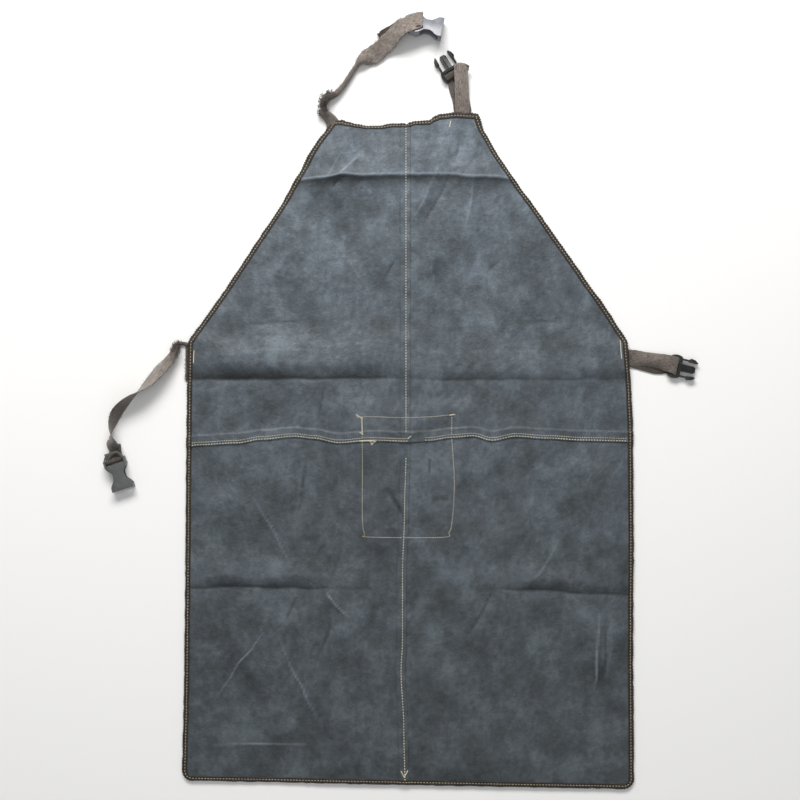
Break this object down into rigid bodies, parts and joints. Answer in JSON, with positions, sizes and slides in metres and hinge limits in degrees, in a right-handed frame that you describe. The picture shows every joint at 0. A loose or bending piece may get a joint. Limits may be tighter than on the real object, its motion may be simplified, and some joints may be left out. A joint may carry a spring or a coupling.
{
  "type": "leather work apron",
  "caption": "Bib apron of lapped leather panels with a bound edge, an inner flap pocket, webbing neck and waist straps and side-release buckles, laid flat.",
  "frame": {"origin": "on the resting plane under the middle of the apron, where the centre seam crosses the waist seam, on the flap's outer face", "axes": "+Z out of the front face, +Y from the waist seam to the bib's top edge, +X to the right of the front face; laid flat, front face up"},
  "size_m": [0.8583, 1.1186, 0.0246],
  "materials": {
    "leather": "split cowhide, dyed slate grey and smoothed",
    "binding": "thin dark leather strip, matt",
    "webbing": "woven cotton webbing, taupe",
    "buckle_plastic": "moulded acetal, charcoal",
    "thread": "twisted sewing thread, cream"
  },
  "bodies": {
    "apron": {"bib_panel_left": "leather", "bib_panel_right": "leather", "skirt_panel_left": "leather", "skirt_panel_right": "leather", "binding_top_left": "binding", "binding_top_right": "binding", "binding_slope_left": "binding", "binding_slope_right": "binding", "binding_side_left": "binding", "binding_side_right": "binding", "binding_hem": "binding", "pocket_panel": "leather", "flap_sewn_edge": "leather", "neck_strap_tail": "webbing", "neck_loop_tail": "webbing", "waist_strap_tail": "webbing", "waist_loop_tail": "webbing", "centre_seam_thread": "thread", "waist_seam_thread": "thread", "pocket_thread": "thread", "flap_thread": "thread", "binding_thread": "thread", "strap_tack_thread": "thread"},
    "flap": {"pocket_flap": "leather"},
    "neck_strap": {"neck_strap": "webbing", "neck_strap_end": "webbing"},
    "neck_socket": {"neck_socket": "buckle_plastic"},
    "neck_loop": {"neck_loop": "webbing", "neck_loop_end": "webbing"},
    "neck_plug": {"neck_plug": "buckle_plastic"},
    "neck_arm_left": {"neck_plug_arm_left": "buckle_plastic"},
    "neck_arm_right": {"neck_plug_arm_right": "buckle_plastic"},
    "waist_strap": {"waist_strap": "webbing", "waist_strap_end": "webbing"},
    "waist_socket": {"waist_socket": "buckle_plastic"},
    "waist_loop": {"waist_loop": "webbing", "waist_loop_end": "webbing"},
    "waist_plug": {"waist_plug": "buckle_plastic"},
    "waist_arm_left": {"waist_plug_arm_left": "buckle_plastic"},
    "waist_arm_right": {"waist_plug_arm_right": "buckle_plastic"}
  },
  "joints": [
    {"name": "flap_fold", "type": "hinge", "parent": "apron", "child": "flap", "pos_m": [-0.001, 0.0297, 0.0007], "axis": [1, 0, 0], "range_deg": [0, 170]},
    {"name": "neck_strap_fold", "type": "hinge", "parent": "apron", "child": "neck_strap", "pos_m": [-0.10969, 0.46363, 0.0007], "axis": [0.9063, 0.4226, 0], "range_deg": [-80, 80]},
    {"name": "neck_socket_swivel", "type": "hinge", "parent": "neck_strap", "child": "neck_socket", "pos_m": [0.00731, 0.59762, 0.01184], "axis": [0.161, 0.9131, -0.3746], "range_deg": [0, 45]},
    {"name": "neck_loop_fold", "type": "hinge", "parent": "apron", "child": "neck_loop", "pos_m": [0.079, 0.47229, 0.0014], "axis": [1, 0, 0], "range_deg": [-80, 80]},
    {"name": "neck_plug_swivel", "type": "hinge", "parent": "neck_loop", "child": "neck_plug", "pos_m": [0.064, 0.52929, 0.0035], "axis": [-0.848, -0.5299, 0], "range_deg": [-35, 35]},
    {"name": "neck_arm_left_flex", "type": "hinge", "parent": "neck_plug", "child": "neck_arm_left", "pos_m": [0.0483, 0.53139, 0.0035], "axis": [0, 0, -1], "range_deg": [0, 8], "stiffness_Nm_per_rad": 0.5},
    {"name": "neck_arm_right_flex", "type": "hinge", "parent": "neck_plug", "child": "neck_arm_right", "pos_m": [0.06899, 0.54432, 0.0035], "axis": [0, 0, 1], "range_deg": [0, 8], "stiffness_Nm_per_rad": 0.5},
    {"name": "waist_strap_fold", "type": "hinge", "parent": "apron", "child": "waist_strap", "pos_m": [-0.32174, 0.128, 0.0007], "axis": [0, 1, 0], "range_deg": [-80, 80]},
    {"name": "waist_socket_swivel", "type": "hinge", "parent": "waist_strap", "child": "waist_socket", "pos_m": [-0.42274, -0.03, 0.0063], "axis": [0.9511, 0.309, 0], "range_deg": [0, 45]},
    {"name": "waist_loop_fold", "type": "hinge", "parent": "apron", "child": "waist_loop", "pos_m": [0.31924, 0.118, 0.0014], "axis": [0, -1, 0], "range_deg": [-80, 80]},
    {"name": "waist_plug_swivel", "type": "hinge", "parent": "waist_loop", "child": "waist_plug", "pos_m": [0.38524, 0.1065, 0.0035], "axis": [0.225, 0.9744, 0], "range_deg": [-35, 35]},
    {"name": "waist_arm_left_flex", "type": "hinge", "parent": "waist_plug", "child": "waist_arm_left", "pos_m": [0.39783, 0.11611, 0.0035], "axis": [0, 0, -1], "range_deg": [0, 8], "stiffness_Nm_per_rad": 0.5},
    {"name": "waist_arm_right_flex", "type": "hinge", "parent": "waist_plug", "child": "waist_arm_right", "pos_m": [0.39234, 0.09234, 0.0035], "axis": [0, 0, 1], "range_deg": [0, 8], "stiffness_Nm_per_rad": 0.5}
  ]
}
